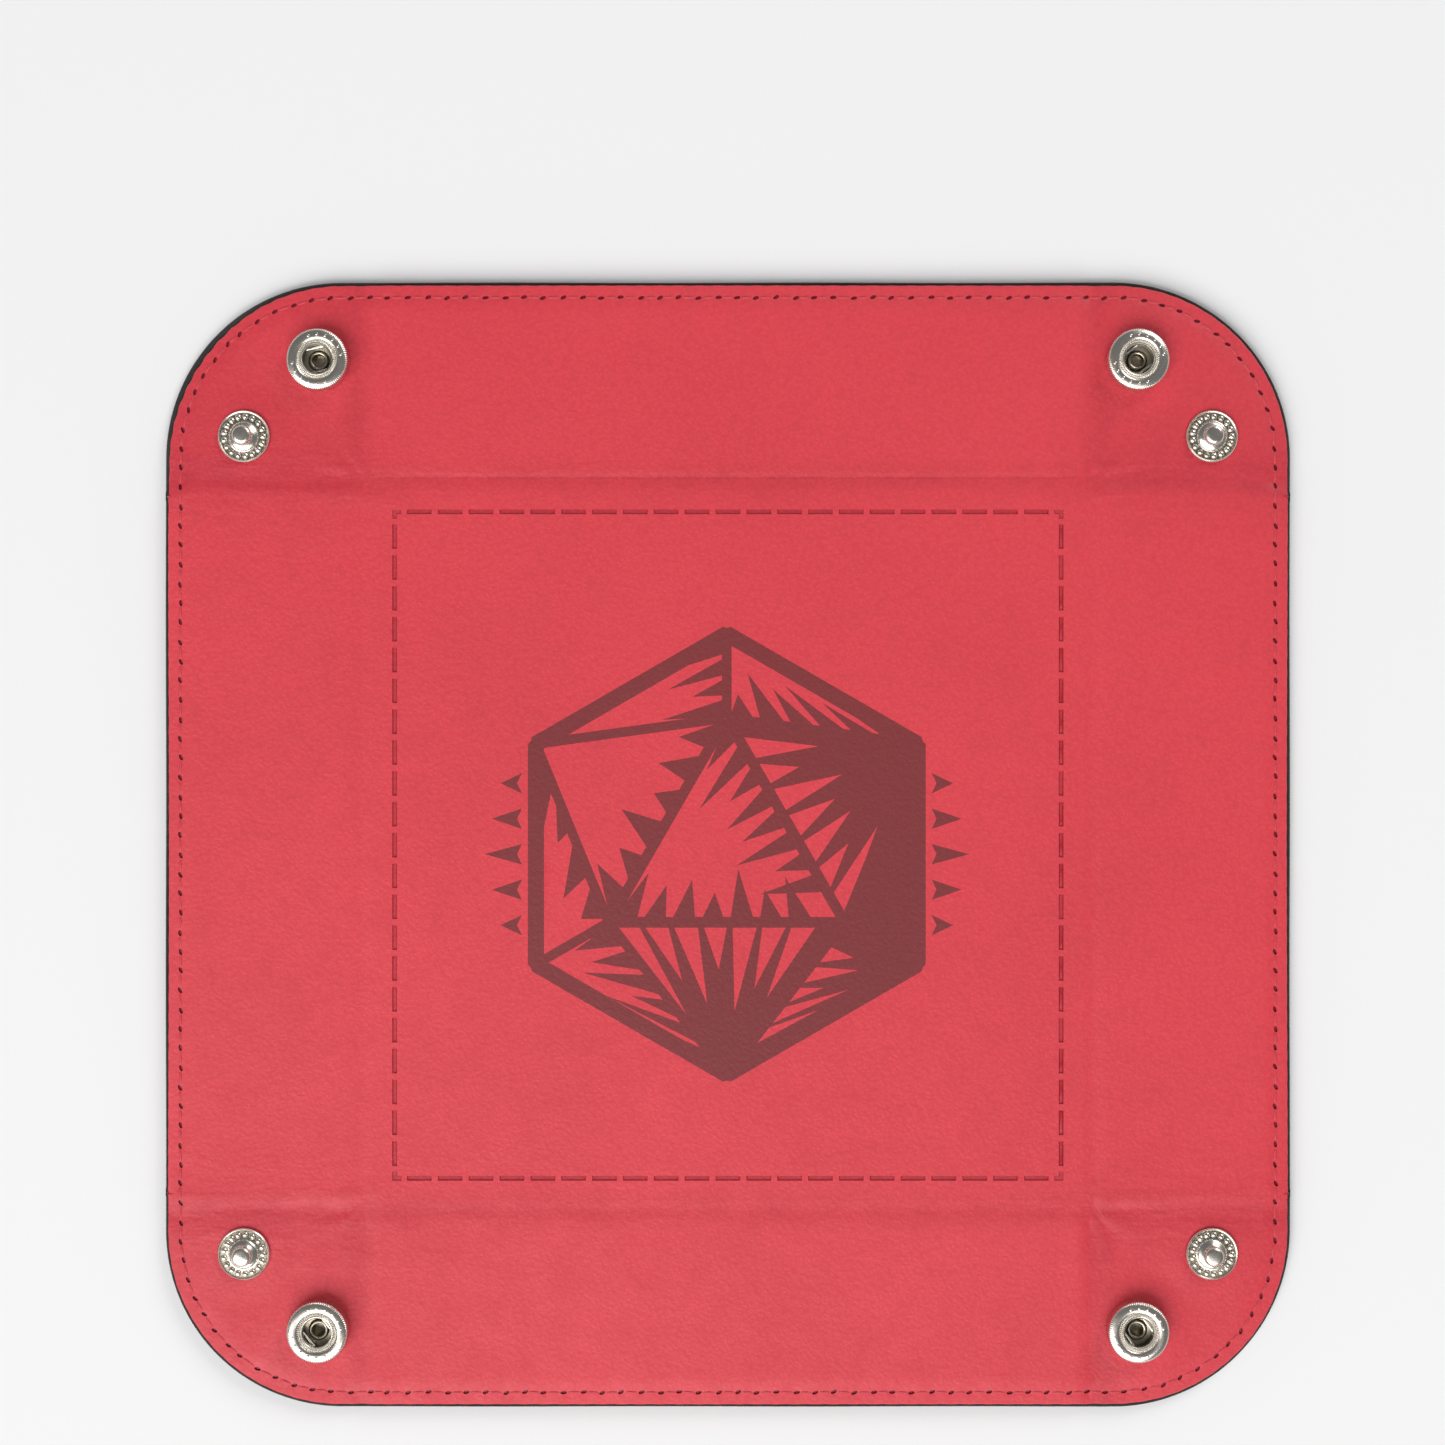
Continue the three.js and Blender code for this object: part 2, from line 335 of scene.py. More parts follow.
# Darker, browner nickel: painted shade inside the snaps' hollows and on the stud's floor between its beads
NICKEL_IN_SHADE = metal_material("nickel_painted_shade", (188, 178, 158), (148, 138, 120), 0.24, 0.38)
SPRING_STEEL = metal_material("spring_steel", (232, 228, 218), (208, 202, 190), 0.22, 0.34)
BOARD = board_material()
THREAD = thread_material()
LEATHER_LOOKS = [LEATHER, DEBOSSED, PRINTED, HOLE_SHADE_LEATHER, VELVET]


# --- The tray's edge ---

def rim_at(s):
    """A point on the edge, and its outward normal, s along it from the middle of the back side
    towards the back right corner and on down the right side."""
    if s <= STRAIGHT:
        return (s, HALF), (0.0, 1.0)
    if s <= STRAIGHT + ARC:
        angle = pi / 2 - (s - STRAIGHT) / CORNER_RADIUS
        return on_circle((STRAIGHT, STRAIGHT), CORNER_RADIUS, angle), on_circle((0, 0), 1, angle)
    return (HALF, STRAIGHT - (s - STRAIGHT - ARC)), (1.0, 0.0)


def along_edge(x, y):
    """The reverse of rim_at, for a point of any of the four corners."""
    x, y = abs(x), abs(y)
    if x <= STRAIGHT and y > x:
        return x
    if y <= STRAIGHT:
        return STRAIGHT + ARC + STRAIGHT - y
    return STRAIGHT + CORNER_RADIUS * (pi / 2 - math.atan2(y - STRAIGHT, x - STRAIGHT))


def from_edge(x, y):
    """How far points are inside the edge."""
    across, along = np.abs(x) - STRAIGHT, np.abs(y) - STRAIGHT
    outside = np.hypot(np.maximum(across, 0), np.maximum(along, 0))
    return CORNER_RADIUS - outside - np.minimum(np.maximum(across, along), 0)


def leather_margin(x, y):
    """The velvet that shows beyond the leather: a little scalloped by the stitches, and wider
    where the back left corner was trimmed short."""
    trimmed = math.exp(-((x + 97) ** 2 + (y - 88) ** 2) / (2 * 13 ** 2))
    scallop = (0.03 + 0.08 * trimmed) * cos(2 * pi * along_edge(x, y) / STITCH_PITCH)
    uneven = 0.1 * sin(x / 17 + 1.3) * cos(y / 23)
    return LEATHER_MARGIN + scallop + uneven + 0.7 * trimmed


def velvet_margin(x, y):
    return 0.05 + 0.05 * sin(x / 9) * sin(y / 11 + 0.7)


# --- Heights of the sheets ---

SOCKET_CENTRES = [centre_of(f"snap_socket_{name}") for name, _, _ in CORNERS]
STUD_CENTRES = [centre_of(f"snap_stud_{name}") for name, _, _ in CORNERS]


def in_corners(x, y):
    """1 inside the boardless corners, 0 over the boards."""
    return ramp((np.abs(x) - FOLD + 4) / 5) * ramp((np.abs(y) - FOLD + 4) / 5)


def dip(distance, width):
    """1 on a line, falling to 0 a few widths away from it."""
    return np.exp(-(distance / width) ** 2)


def leather_height(x, y):
    """The top of the leather. It dips at the edge, the seam and the folds, sags in the corners except
    round the snaps, and rises to the hinge's height beside the open creases."""
    from_rim = from_edge(x, y)
    soft = in_corners(x, y)
    past_x, past_y = np.abs(x) - FOLD, np.abs(y) - FOLD
    height = TOP - RIM_DROP * (1 - ramp(from_rim / RIM_SLOPE))
    height -= 0.2 * dip(from_rim - SEAM_FROM_EDGE, 0.75)
    height -= np.where(y > 0, 0.14, 0.09) * dip(past_y, FOLD_WIDTH)
    height -= 0.14 * dip(past_x, FOLD_WIDTH)
    height -= 0.1 * dip(y - FOLD - 0.3, 0.4) * ramp(-past_x / 3)

    sag = 0.24 + 0.06 * np.sin(x / 3.7) * np.sin(y / 4.3 + 0.8)
    sag += 0.1 * dip(np.hypot(past_x, past_y), 9) * (1 + np.cos(7 * np.arctan2(past_y, past_x)))
    for (cx, cy), reach in [(c, 6.2) for c in SOCKET_CENTRES] + [(c, 5.3) for c in STUD_CENTRES]:
        sag = 0.05 + (sag - 0.05) * ramp((np.hypot(x - cx, y - cy) - reach) / 5)
    height -= soft * sag
    height += 0.035 * np.sin(x / 21 + 0.5) * np.cos(y / 27 - 0.4) * (1 - soft)

    beside = np.abs(np.abs(y) - CREASE)
    open_crease = ramp(past_x / 1.5) * (1 - ramp(beside / 2.5)) * ramp((from_rim - 1.5) / 3)
    height += (TOP - height) * open_crease
    return np.minimum(height, TOP)


def velvet_height(x, y):
    """The underside of the velvet: flat under the boards, raised in the corners, pulled in between
    the boards at the folds, and brought up to the leather at the edge."""
    soft = in_corners(x, y)
    height = CORNER_RISE * soft
    folds = dip(np.abs(y) - FOLD, FOLD_WIDTH) + dip(np.abs(x) - FOLD, FOLD_WIDTH)
    height += 0.45 * np.minimum(folds, 1) * (1 - soft)
    height += soft * 0.08 * (1 + np.sin(x / 3.1) * np.sin(y / 3.9))
    share = 1 - ramp(from_edge(x, y) / RIM_SLOPE)
    return height * (1 - share) + RIM_RISE * share


# --- Outlines of the pieces, for the back right quarter ---

def seam(a, b, step=0.6):
    """Points from a up to, not including, b, on a line where two pieces meet."""
    count = max(1, math.ceil(math.dist(a, b) / step))
    return [(a[0] + (b[0] - a[0]) * i / count, a[1] + (b[1] - a[1]) * i / count, 0.0, 0.0)
            for i in range(count)]


def rim(start, end, step=0.6):
    """Points on the tray's edge from start to end, both included, with their normals."""
    count = max(1, math.ceil(abs(end - start) / step))
    places = [rim_at(start + (end - start) * i / count) for i in range(count + 1)]
    return [(*point, *normal) for point, normal in places]


def seams(*corners):
    """Straight seams through the given corners, up to, not including, the last."""
    found = []
    for a, b in zip(corners, corners[1:]):
        found += seam(a, b)
    return found


CREASE_IN = CREASE - CREASE_REACH
CREASE_OUT = CREASE + CREASE_REACH
FOLD_IN = FOLD - FOLD_REACH
PINCH_STEP = PINCH_REACH * sqrt(2)
PINCH_ON_RIM = STRAIGHT + CORNER_RADIUS * (pi / 4 - math.asin(PINCH_REACH / CORNER_RADIUS))
PINCH_FOOT = (CREASE_OUT, CREASE_OUT + PINCH_STEP)
MIDDLE_OF_SIDE = STRAIGHT + ARC + STRAIGHT
PIVOT_ON_RIM = MIDDLE_OF_SIDE - CREASE


def base_outline():
    quarter = [(FOLD_IN, 0), (FOLD_IN, CREASE), (FOLD, CREASE), (FOLD, FOLD), (CREASE_IN, FOLD),
               (CREASE_IN, FOLD_IN), (0, FOLD_IN)]
    corners = list(quarter)
    corners += [(-x, y) for x, y in quarter[-2::-1]]
    corners += [(-x, -y) for x, y in quarter[1:]]
    corners += [(x, -y) for x, y in quarter[-2:0:-1]]
    return seams(*corners, corners[0])


def back_outline():
    """The back wall and its fold. The front one is its mirror image."""
    found = seams((-CREASE_IN, HALF), (-CREASE_IN, FOLD), (-CREASE_IN, FOLD_IN), (CREASE_IN, FOLD_IN),
                  (CREASE_IN, FOLD), (CREASE_IN, HALF))
    edge = rim(0, CREASE_IN)
    return found[1:] + edge[::-1] + [(-x, y, nx, ny) for x, y, nx, ny in edge[1:]]


def right_outline():
    """The right wall and its fold. The left one is its mirror image."""
    found = seams((HALF, CREASE), (FOLD, CREASE), (FOLD_IN, CREASE), (FOLD_IN, -CREASE), (FOLD, -CREASE),
                  (HALF, -CREASE))
    edge = rim(PIVOT_ON_RIM, MIDDLE_OF_SIDE)
    return found[1:] + [(x, -y, nx, ny) for x, y, nx, ny in edge] + edge[-2::-1]


def crease_outline():
    """The inner half of a corner, which folds with the back wall and holds the socket."""
    edge = rim(CREASE_IN, PINCH_ON_RIM)
    found = seams((CREASE_IN, HALF), (CREASE_IN, FOLD), (CREASE_OUT, FOLD), PINCH_FOOT, edge[-1][:2])
    return found[1:] + edge[::-1]


def pinch_outline():
    """The diagonal of a corner and its outer half, which holds the stud."""
    edge = rim(PINCH_ON_RIM, PIVOT_ON_RIM)
    found = seams(edge[0][:2], PINCH_FOOT, (CREASE_OUT, FOLD), (FOLD, FOLD), (FOLD, CREASE), (HALF, CREASE))
    return found[1:] + edge[::-1]


def signed_area(points):
    pairs = zip(points, points[1:] + points[:1])
    return sum(a[0] * b[1] - b[0] * a[1] for a, b in pairs) / 2


def anticlockwise(points):
    return points if signed_area(points) > 0 else points[::-1]


def place_outline(outline, sx, sy, margin, keep_off):
    """The outline in the corner of signs sx and sy, anticlockwise, with its edge moved in by the
    margin. Along an open crease it keeps off by the given distance, less near the edge, to the
    piece's own side. Points too near the edge or the crease for a good mesh are left out."""
    on_line, clear_of_crease, clear_of_rim = 0.001, 0.3, 1.6
    past_fold = FOLD + 0.1
    beyond = sum(y for _, y, _, _ in outline) / len(outline) > CREASE

    def off(x, y):
        return keep_off * float(ramp(from_edge(x, y) / CUT_FADE))

    found = []
    for x, y, nx, ny in outline:
        x, y, nx, ny = x * sx, y * sy, nx * sx, ny * sy
        beside = abs(abs(y) - CREASE) if abs(x) > past_fold else 0.0
        too_near = on_line < beside < off(x, y) + clear_of_crease
        if too_near or not (nx or ny) and from_edge(x, y) < clear_of_rim:
            continue
        if nx or ny:
            inset = margin(x, y) + EDGE_ROUNDING
            x, y = x - nx * inset, y - ny * inset
        if abs(x) > past_fold and abs(abs(y) - CREASE) < on_line:
            y = math.copysign(CREASE + off(x, y) * (1 if beyond else -1), y)
        found.append((x, y, nx, ny))
    return anticlockwise(found)


class Feature:
    """A closed line in the leather. kind says what it bounds; level raises or lowers its points."""

    def __init__(self, points, kind, level=0.0):
        self.points = anticlockwise(points)
        self.kind, self.level = kind, level


def pressed(points_at, kind, depth, wall):
    """A shape pressed into the leather: its outline, and its floor inside by the wall's width."""
    return [Feature(points_at(0.0), kind), Feature(points_at(wall), kind, -depth)]


def dashed_square():
    """A square of short debossed dashes, with a small angle at each corner."""
    half, count, gap, start = 62.0, 21, 1.14, 2.3
    width, arm, depth, wall = 0.45, 1.3, 0.32, 0.2
    pitch = (2 * half - 2 * start + gap) / count
    length = pitch - gap
    found = []
    for c, s in ((1, 0), (0, 1), (-1, 0), (0, -1)):
        def rotated(points):
            return [(c * x - s * y, s * x + c * y) for x, y in points]

        for i in range(count):
            left = -half + start + i * pitch

            def dash(inset):
                low, high = -half - width + inset, -half + width - inset
                ends = left + inset, left + length - inset
                return rotated([(ends[0], low), (ends[1], low), (ends[1], high), (ends[0], high)])

            found += pressed(dash, "deboss", depth, wall)

        def angle(inset):
            out, inn = -half - width + inset, -half + width - inset
            end = -half + arm - inset
            return rotated([(out, out), (end, out), (end, inn), (inn, inn), (inn, end), (out, end)])

        found += pressed(angle, "deboss", depth * 0.6, wall)
    return found


def bar(a, b, width):
    """A straight stroke with pointed ends, from a to b."""
    a, b = Vector(a), Vector(b)
    ahead = (b - a).normalized() * width / 2
    side = left_of(ahead)
    return [tuple(p) for p in (a - ahead, a + side, b + side, b + ahead, b - side, a - side)][::-1]


SPIKES = [1.0, 0.62, 0.86, 0.5, 0.94, 0.7, 0.8, 0.56]


def wedges(a, b, apex, count, reach, first=0):
    """Woodcut shading: spikes standing side by side on the line from a to b, towards the apex."""
    a, b, apex = Vector(a), Vector(b), Vector(apex)
    found = []
    for i in range(count):
        left, right = a.lerp(b, (i + 0.08) / count), a.lerp(b, (i + 0.92) / count)
        tip = left.lerp(right, 0.5).lerp(apex, reach * SPIKES[(i + first) % len(SPIKES)])
        found.append([tuple(left), tuple(right), tuple(tip)])
    return found


def printed_die():
    """The print: a twenty-sided die, face on, with woodcut shading and strokes to either side."""
    centre, radius = Vector((-0.2, -1.7)), 41.0
    inner_share = 0.618            # an icosahedron seen along a face's normal

    def spot(degrees, share=1.0):
        angle = radians(degrees)
        return centre + Vector((cos(angle), sin(angle))) * radius * share

    outer = {d: spot(d) for d in range(30, 390, 60)}
    inner = {d: spot(d, inner_share) for d in (90, 210, 330)}
    lines, ink, gaps = [], [], []
    for d in outer:
        lines.append(bar(outer[d], outer[30 + (d + 30) % 360], 3.0))
    for d, nxt in ((90, 210), (210, 330), (330, 90)):
        lines.append(bar(inner[d], inner[nxt], 2.0))
    for d in inner:
        lines.append(bar(inner[d], outer[d], 1.8))
        lines.append(bar(inner[d], outer[30 + (d + 30) % 360], 1.8))
        lines.append(bar(inner[d], outer[30 + (d - 90) % 360], 1.8))

    def filled(*corners):
        ink.append([tuple(p) for p in corners])

    # Facets in shade are solid, with light spikes cut into them
    filled(inner[330], outer[270], outer[330])
    filled(inner[330], outer[330], outer[30])
    filled(inner[210], outer[270], inner[330])
    filled(inner[330], outer[30], inner[90])
    gaps += wedges(inner[210], inner[330].lerp(inner[210], 0.1), outer[270], 7, 0.62)
    gaps += wedges(inner[90].lerp(inner[330], 0.08), inner[330], outer[30], 7, 0.5, 2)
    gaps += wedges(inner[330].lerp(outer[270], 0.14), outer[270].lerp(inner[330], 0.16), outer[330],
                   5, 0.56, 1)
    # Facets in half light have dark spikes along the edges away from it
    ink += wedges(inner[90], outer[30], outer[90], 6, 0.6, 3)
    ink += wedges(outer[270], inner[210], outer[210], 6, 0.66, 1)
    ink += wedges(inner[330].lerp(inner[90], 0.14), inner[90], inner[210], 8, 0.34, 2)
    ink += wedges(inner[210], inner[330].lerp(inner[210], 0.12), inner[90], 7, 0.26, 4)
    ink += wedges(outer[150], inner[210], outer[210], 4, 0.42, 2)
    ink += wedges(inner[90], inner[210], outer[150], 6, 0.3, 5)
    ink += wedges(outer[90], inner[90], outer[150], 4, 0.36, 1)
    # Strokes to either side
    pitch, half_width, notch, clear = 6.6, 1.9, 0.9, 2.6
    for side in (-1, 1):
        near = side * (radius * cos(pi / 6) + clear)
        for i, reach in enumerate((4.0, 5.6, 7.0, 5.6, 4.0)):
            y = (i - 2) * pitch
            corners = ((near, y - half_width), (near + side * reach, y), (near, y + half_width),
                       (near + side * notch, y))
            ink.append([tuple(centre + Vector(p)) for p in corners])
    kinds = (("line", lines), ("ink", ink), ("gap", gaps))
    return [Feature(points, kind) for kind, shapes in kinds for points in shapes]


def look_of(kinds):
    """Which of LEATHER_LOOKS a face takes, from the kinds of the features that it lies in."""
    # Stitch holes take the leather darkened with painted shade
    if "hole" in kinds:
        return 3
    if "deboss" in kinds:
        return 1
    return 2 if "line" in kinds or ("ink" in kinds and "gap" not in kinds) else 0


def ring_of(centre, radius, count=20):
    return [on_circle(centre, radius, 2 * pi * i / count) for i in range(count)]


def from_seams(point):
    """How far a point near the edge is from the lines where pieces meet."""
    x, y = abs(point.x), abs(point.y)
    diagonal = abs(y - x) / sqrt(2)
    found = [abs(x - CREASE_IN) if y > x else abs(y - CREASE)]
    if min(x, y) > FOLD:
        found.append(abs(diagonal - PINCH_REACH) if y > x else math.inf)
    return min(found)


def seam_line():
    """Every stitch hole: its place, and its direction along the seam."""
    wander, slide, clear_of_seams = 0.1, 0.16, 0.95
    radius = CORNER_RADIUS - SEAM_FROM_EDGE
    length = 4 * 2 * STRAIGHT + 2 * pi * radius
    count = 2 * round(length / STITCH_PITCH / 2)
    side = 2 * STRAIGHT + radius * pi / 2
    found = []
    for i in range(count):
        s = (i + 0.5) * length / count
        turn, s = divmod(s, side)
        if s < 2 * STRAIGHT:
            point, ahead = Vector((HALF - SEAM_FROM_EDGE, s - STRAIGHT)), Vector((0, 1))
        else:
            angle = (s - 2 * STRAIGHT) / radius
            point = Vector((STRAIGHT, STRAIGHT)) + radius * Vector((cos(angle), sin(angle)))
            ahead = Vector((-sin(angle), cos(angle)))
        for _ in range(int(turn)):
            point, ahead = left_of(point), left_of(ahead)
        point += left_of(ahead) * wander * sin(i * 2.4) + ahead * slide * sin(i * 1.7)
        nudges = sorted(np.arange(-1.2, 1.3, 0.2), key=abs)
        point = next(p for p in (point + ahead * n for n in nudges) if from_seams(p) > clear_of_seams)
        found.append((point, ahead))
    return found


STITCHES = seam_line()


def hole_features(point, ahead, tilt):
    """A stitch hole: a slanted oval pressed deep into the leather."""
    ahead = Vector((ahead.x * cos(tilt) - ahead.y * sin(tilt),
                    ahead.x * sin(tilt) + ahead.y * cos(tilt)))
    side = left_of(ahead)
    half_length, half_width, depth, wall, steps = 0.62, 0.34, 0.36, 0.12, 10

    def oval(inset):
        return [tuple(point + ahead * (half_length - inset) * cos(2 * pi * i / steps)
                      + side * (half_width - inset) * sin(2 * pi * i / steps))
                for i in range(steps)]

    return pressed(oval, "hole", depth, wall)


# --- Sheets ---

def inside(point, outline):
    """Whether a point is inside a closed outline."""
    x, y = point[:2]
    found = False
    for (ax, ay, *_), (bx, by, *_) in zip(outline, outline[1:] + outline[:1]):
        if (ay > y) != (by > y) and x < (bx - ax) * (y - ay) / (by - ay) + ax:
            found = not found
    return found


def loose_points(outline, step, taken, bend):
    """Points inside an outline: an even grid, and close rows along its bend and the open creases."""
    row_gap, row_step, crease_step, beside_crease = 0.5, 1.2, 1.1, 2.7
    tree = KDTree(len(taken))
    for i, (x, y) in enumerate(taken):
        tree.insert((x, y, 0), i)
    tree.balance()
    spots = [Vector(p[:2]) for p in outline]
    xs, ys = [p.x for p in spots], [p.y for p in spots]
    found = []
    across, start, width = Vector((1, 0)), Vector((0, 0)), 0.0
    if bend:
        start, end = Vector(bend[0][:2]) / MM, Vector(bend[1][:2]) / MM
        width = (end - start).length
        across = (end - start).normalized()
        line = left_of(across)
        reach = [(p - start).dot(line) for p in spots]
        rows = round(width / row_gap)
        for i in range(rows + 1):
            row_start = start + across * width * i / rows
            found += [row_start + line * t for t in np.arange(min(reach), max(reach), row_step)]
    for beside in (-2.2, -1.4, -0.8, -0.35, 0.35, 0.8, 1.4, 2.2):
        for side in (-1, 1):
            level = side * (CREASE + beside)
            if max(map(abs, xs)) > FOLD + 10 and min(ys) < level < max(ys):
                row = np.arange(min(xs), max(xs), crease_step)
                found += [Vector((x, level)) for x in row if abs(x) > FOLD]
    for row, y in enumerate(np.arange(min(ys), max(ys), step * 0.87)):
        for x in np.arange(min(xs) + (row % 2) * step / 2, max(xs), step):
            past = (Vector((x, y)) - start).dot(across)
            in_bend = bend and -0.3 * step < past < width + 0.3 * step
            in_rows = abs(x) > FOLD and abs(abs(y) - CREASE) < beside_crease
            if not in_rows and not in_bend:
                found.append(Vector((x, y)))
    gap = min(0.45 * step, 0.4)
    return [(p.x, p.y) for p in found if tree.find((p.x, p.y, 0))[2] > gap and inside(p, outline)]


def sheet_piece(name, outline, heights, materials, features=(), step=2.0, holes=(), bend=None, edge_slot=0):
    """A closed sheet: heights gives the top and underside, and the edge between them is rounded.
    Faces inside a feature take the look of its kind, and the underside takes the last material."""
    points = [(x, y) for x, y, _, _ in outline]
    levels = [0.0] * len(points)
    polygons, kinds = [list(range(len(points)))], ["sheet"]
    for feature in [*features, *[Feature(ring, "cut") for ring in holes]]:
        first = len(points)
        points += feature.points
        levels += [feature.level] * len(feature.points)
        polygons.append(list(range(first, len(points))))
        kinds.append(feature.kind)
    loose = loose_points(outline, step, points, bend)
    points += loose
    levels += [0.0] * len(loose)
    flat, _, triangles, origins, _, owners = delaunay_2d_cdt(
        [Vector(p) for p in points], [], polygons, 1, 1e-5, True)

    lift = np.array([min((levels[i] for i in ids), default=0.0) for ids in origins])
    xy = np.array([tuple(v) for v in flat])
    top, bottom = heights(xy[:, 0], xy[:, 1])
    top = top + lift
    faces, slots = [], []
    for triangle, ids in zip(triangles, owners):
        found = {kinds[i] for i in ids}
        if "sheet" not in found or "cut" in found:
            continue
        faces.append(list(triangle))
        slots.append(look_of(found) if features else 0)

    count = len(xy)
    vertices = [(*p, z) for p, z in zip(xy, top)] + [(*p, z) for p, z in zip(xy, bottom)]
    below = [[i + count for i in reversed(face)] for face in faces]
    walls = []

    def add_wall(ring, normals):
        """Closes the edge along a ring of top vertices, with the sheet to its left."""
        upper, lower = [], []
        for index, (nx, ny) in zip(ring, normals):
            x, y, z = vertices[index]
            low = vertices[index + count][2]
            round_by = EDGE_ROUNDING if nx or ny else 0.0
            place = (x + nx * EDGE_ROUNDING, y + ny * EDGE_ROUNDING)
            upper.append(len(vertices))
            vertices.append((*place, z - round_by))
            lower.append(len(vertices))
            vertices.append((*place, low + round_by))
        for i in range(len(ring)):
            j = (i + 1) % len(ring)
            walls.append([ring[j], ring[i], upper[i], upper[j]])
            walls.append([upper[j], upper[i], lower[i], lower[j]])
            walls.append([lower[j], lower[i], ring[i] + count, ring[j] + count])

    place_of = {i: out for out, ids in enumerate(origins) for i in ids}
    add_wall([place_of[i] for i in range(len(outline))], [(nx, ny) for _, _, nx, ny in outline])
    for polygon, kind in zip(polygons, kinds):
        if kind == "cut":
            add_wall([place_of[i] for i in reversed(polygon)], [(0.0, 0.0)] * len(polygon))
    slots = slots + [len(materials) - 1] * len(below) + [edge_slot] * len(walls)
    return build_mesh(name, vertices, faces + below + walls, materials, slots)


def declare_sheet(outline):
    signed_area(outline) * MM * MM


def closing_height(x, y):
    """The least height beside the open creases, where a corner's loop isn't joined. The sheets on
    either side are bevelled to it, so that they meet when the tray is folded."""
    beside = np.abs(np.abs(y) - CREASE)
    return np.where(np.abs(x) > FOLD + 0.3, TOP - beside / CUT_BACK, -np.inf)


def leather_sides(x, y):
    clearance, thinnest = 0.04, 0.012
    top = leather_height(x, y)
    bevel = np.minimum(closing_height(x, y) + clearance, top - thinnest)
    return top, np.maximum(top - LEATHER_THICKNESS, bevel)


def velvet_sides(x, y):
    clearance, thinnest, cut_at_edge, cut_inside = 0.12, 0.12, 0.6, 4
    flat = velvet_height(x, y)
    most = flat + cut_at_edge + cut_inside * ramp(from_edge(x, y) / CUT_FADE)
    bottom = np.maximum(flat, np.minimum(closing_height(x, y) + clearance, most))
    return np.maximum(flat + VELVET_THICKNESS, bottom + thinnest), bottom


def tip_leather_sides(x, y):
    sunk, deepest = 0.06, 0.7
    top = leather_height(x, y)
    return top - sunk, top - deepest


def tip_velvet_sides(x, y):
    raised, highest = 0.15, 0.7
    bottom = velvet_height(x, y)
    return bottom + highest, bottom + raised


def stitch_holes(outline):
    """The stitch holes that lie in a piece."""
    found = []
    for i, (point, ahead) in enumerate(STITCHES):
        if inside(point, outline):
            found += hole_features(point, ahead, 0.35 + 0.2 * sin(i * 1.1))
    return found


def tube_faces(first, rings, sides):
    """A closed tube of rings of points, the first ring beginning at the point numbered first."""
    faces = []
    for low in range(first, first + (rings - 1) * sides, sides):
        high = low + sides
        for k in range(sides):
            j = (k + 1) % sides
            faces.append([low + k, high + k, high + j, low + j])
    faces.append([first + k for k in range(sides)])
    faces.append([first + (rings - 1) * sides + k for k in reversed(range(sides))])
    return faces


def thread_piece(name, outline):
    """The stitches of a piece: a short arch of thread between each two holes."""
    sides, rings, radius, sunk, arch, twist = 8, 8, 0.3, 0.26, 0.22, 1.5
    points, faces = [], []
    for (a, ahead_a), (b, ahead_b) in zip(STITCHES, STITCHES[1:] + STITCHES[:1]):
        middle = (a + b) / 2
        if not inside(middle, outline):
            continue
        first = len(points)
        for i in range(rings):
            t = i / (rings - 1)
            place = a.lerp(b, 0.15 + 0.7 * t)
            ahead = ahead_a.lerp(ahead_b, t).normalized()
            side = left_of(ahead)
            surface = float(leather_height(np.array([place.x]), np.array([place.y]))[0])
            lift = arch * sin(pi * t) ** 0.6 - sunk
            thick = radius * (0.6 + 0.4 * sin(pi * t) ** 0.4)
            for k in range(sides):
                angle = 2 * pi * k / sides + t * twist
                out = side * thick * cos(angle)
                points.append((place.x + out.x, place.y + out.y, surface + lift + thick * sin(angle)))
        faces += tube_faces(first, rings, sides)
    return build_mesh(name, points, faces, [THREAD], sharp=60)


def sheet_plans():
    """For each body: its outline in the back right quarter, the signs of its own place, what it bends
    between and across, and what it rests on."""
    plans = [("base", base_outline(), 1, 1, None, "base_board")]
    past = FOLD + FOLD_REACH
    for side, sx, sy in (("back", 1, 1), ("front", 1, -1), ("right", 1, 1), ("left", -1, 1)):
        label = f"wall_{side}"
        if side in ("back", "front"):
            outline, bend = back_outline(), ("base", label, at(0, FOLD_IN * sy), at(0, past * sy))
        else:
            outline, bend = right_outline(), ("base", label, at(FOLD_IN * sx, 0), at(past * sx, 0))
        plans.append((label, outline, sx, sy, bend, f"{label}_board"))
    reach = PINCH_REACH / sqrt(2)
    for name, sx, sy in CORNERS:
        wall = "wall_back" if sy > 0 else "wall_front"
        socket, stud = f"corner_{name}_socket_half", f"corner_{name}_stud_half"
        bend = (wall, socket, at(sx * CREASE_IN, sy * HALF), at(sx * CREASE_OUT, sy * HALF))
        plans.append((socket, crease_outline(), sx, sy, bend, f"snap_socket_{name}"))
        bend = (socket, stud, at(sx * (FOLD - reach), sy * (FOLD + reach)),
                at(sx * (FOLD + reach), sy * (FOLD - reach)))
        plans.append((stud, pinch_outline(), sx, sy, bend, f"snap_stud_{name}"))
    return plans


